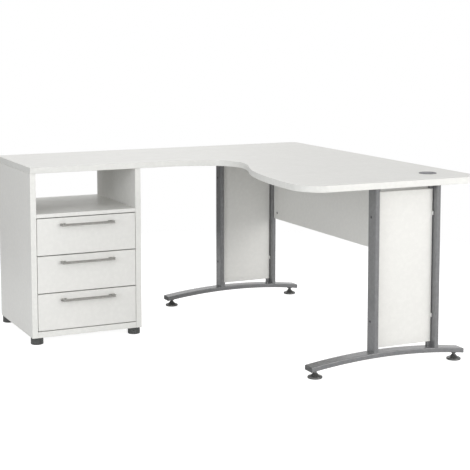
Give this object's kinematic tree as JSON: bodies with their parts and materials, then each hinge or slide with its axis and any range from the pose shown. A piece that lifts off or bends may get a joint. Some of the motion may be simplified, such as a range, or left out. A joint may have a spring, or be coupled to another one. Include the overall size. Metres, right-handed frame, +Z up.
{
  "type": "corner desk",
  "caption": "L-shaped white laminate corner desk on a drawer pedestal with an open compartment and two arched steel leg frames with levelling feet and a modesty panel.",
  "frame": {"origin": "on the floor, under the middle of the worktop's bounding rectangle", "axes": "+Z up, +Y towards the back edge of the wing that stands on the pedestal, +X along that wing from the pedestal to the corner; the drawers open towards -Y and the other wing runs towards -Y"},
  "size_m": [1.505, 1.55, 0.7448],
  "materials": {
    "white_laminate": "white melamine laminate, satin, with matching edge band",
    "drawer_board": "light foil-wrapped drawer box board, matt",
    "frame_steel": "silver-grey powder coat with fine orange peel",
    "handle_metal": "satin grey lacquered metal",
    "runner_zinc": "zinc-plated rolled steel",
    "dark_plastic": "dark grey moulded plastic, fine grain",
    "grommet_plastic": "grey moulded plastic, fine grain"
  },
  "bodies": {
    "desk": {"drawer_1_cabinet_runner_left": "runner_zinc", "drawer_1_cabinet_runner_right": "runner_zinc", "drawer_2_cabinet_runner_left": "runner_zinc", "drawer_2_cabinet_runner_right": "runner_zinc", "drawer_3_cabinet_runner_left": "runner_zinc", "drawer_3_cabinet_runner_right": "runner_zinc", "front_frame_end_cap_left": "dark_plastic", "front_frame_end_cap_right": "dark_plastic", "front_frame_foot_rail": "frame_steel", "front_frame_infill_panel": "white_laminate", "front_frame_upright_left": "frame_steel", "front_frame_upright_right": "frame_steel", "grommet_liner": "grommet_plastic", "modesty_panel": "white_laminate", "pedestal_back": "white_laminate", "pedestal_bottom": "white_laminate", "pedestal_foot_back_left": "dark_plastic", "pedestal_foot_back_right": "dark_plastic", "pedestal_foot_front_left": "dark_plastic", "pedestal_foot_front_right": "dark_plastic", "pedestal_left_side": "white_laminate", "pedestal_right_side": "white_laminate", "pedestal_shelf": "white_laminate", "rear_frame_end_cap_left": "dark_plastic", "rear_frame_end_cap_right": "dark_plastic", "rear_frame_foot_rail": "frame_steel", "rear_frame_infill_panel": "white_laminate", "rear_frame_upright_left": "frame_steel", "rear_frame_upright_right": "frame_steel", "worktop": "white_laminate"},
    "drawer_1": {"drawer_1_back": "drawer_board", "drawer_1_bottom": "drawer_board", "drawer_1_front": "white_laminate", "drawer_1_handle": "handle_metal", "drawer_1_left_side": "drawer_board", "drawer_1_right_side": "drawer_board", "drawer_1_runner_left": "runner_zinc", "drawer_1_runner_right": "runner_zinc"},
    "drawer_2": {"drawer_2_back": "drawer_board", "drawer_2_bottom": "drawer_board", "drawer_2_front": "white_laminate", "drawer_2_handle": "handle_metal", "drawer_2_left_side": "drawer_board", "drawer_2_right_side": "drawer_board", "drawer_2_runner_left": "runner_zinc", "drawer_2_runner_right": "runner_zinc"},
    "drawer_3": {"drawer_3_back": "drawer_board", "drawer_3_bottom": "drawer_board", "drawer_3_front": "white_laminate", "drawer_3_handle": "handle_metal", "drawer_3_left_side": "drawer_board", "drawer_3_right_side": "drawer_board", "drawer_3_runner_left": "runner_zinc", "drawer_3_runner_right": "runner_zinc"},
    "rear_frame_glide_left": {"rear_frame_glide_left": "dark_plastic"},
    "rear_frame_glide_right": {"rear_frame_glide_right": "dark_plastic"},
    "front_frame_glide_left": {"front_frame_glide_left": "dark_plastic"},
    "front_frame_glide_right": {"front_frame_glide_right": "dark_plastic"},
    "grommet_cap": {"grommet_cap": "grommet_plastic"}
  },
  "joints": [
    {"name": "drawer_1_slide", "type": "slide", "parent": "desk", "child": "drawer_1", "axis": [0, -1, 0], "range_m": [0, 0.34]},
    {"name": "drawer_2_slide", "type": "slide", "parent": "desk", "child": "drawer_2", "axis": [0, -1, 0], "range_m": [0, 0.34]},
    {"name": "drawer_3_slide", "type": "slide", "parent": "desk", "child": "drawer_3", "axis": [0, -1, 0], "range_m": [0, 0.34]},
    {"name": "rear_frame_glide_left_turn", "type": "hinge", "parent": "desk", "child": "rear_frame_glide_left", "pos_m": [0.057, 0.696, 0.02], "axis": [0, 0, 1], "continuous": true},
    {"name": "rear_frame_glide_right_turn", "type": "hinge", "parent": "desk", "child": "rear_frame_glide_right", "pos_m": [0.686, 0.696, 0.02], "axis": [0, 0, 1], "continuous": true},
    {"name": "front_frame_glide_left_turn", "type": "hinge", "parent": "desk", "child": "front_frame_glide_left", "pos_m": [0.0725, -0.673, 0.02], "axis": [0, 0, 1], "continuous": true},
    {"name": "front_frame_glide_right_turn", "type": "hinge", "parent": "desk", "child": "front_frame_glide_right", "pos_m": [0.7015, -0.673, 0.02], "axis": [0, 0, 1], "continuous": true},
    {"name": "grommet_cap_turn", "type": "hinge", "parent": "desk", "child": "grommet_cap", "pos_m": [0.6105, -0.605, 0.742], "axis": [0, 0, 1], "continuous": true}
  ]
}
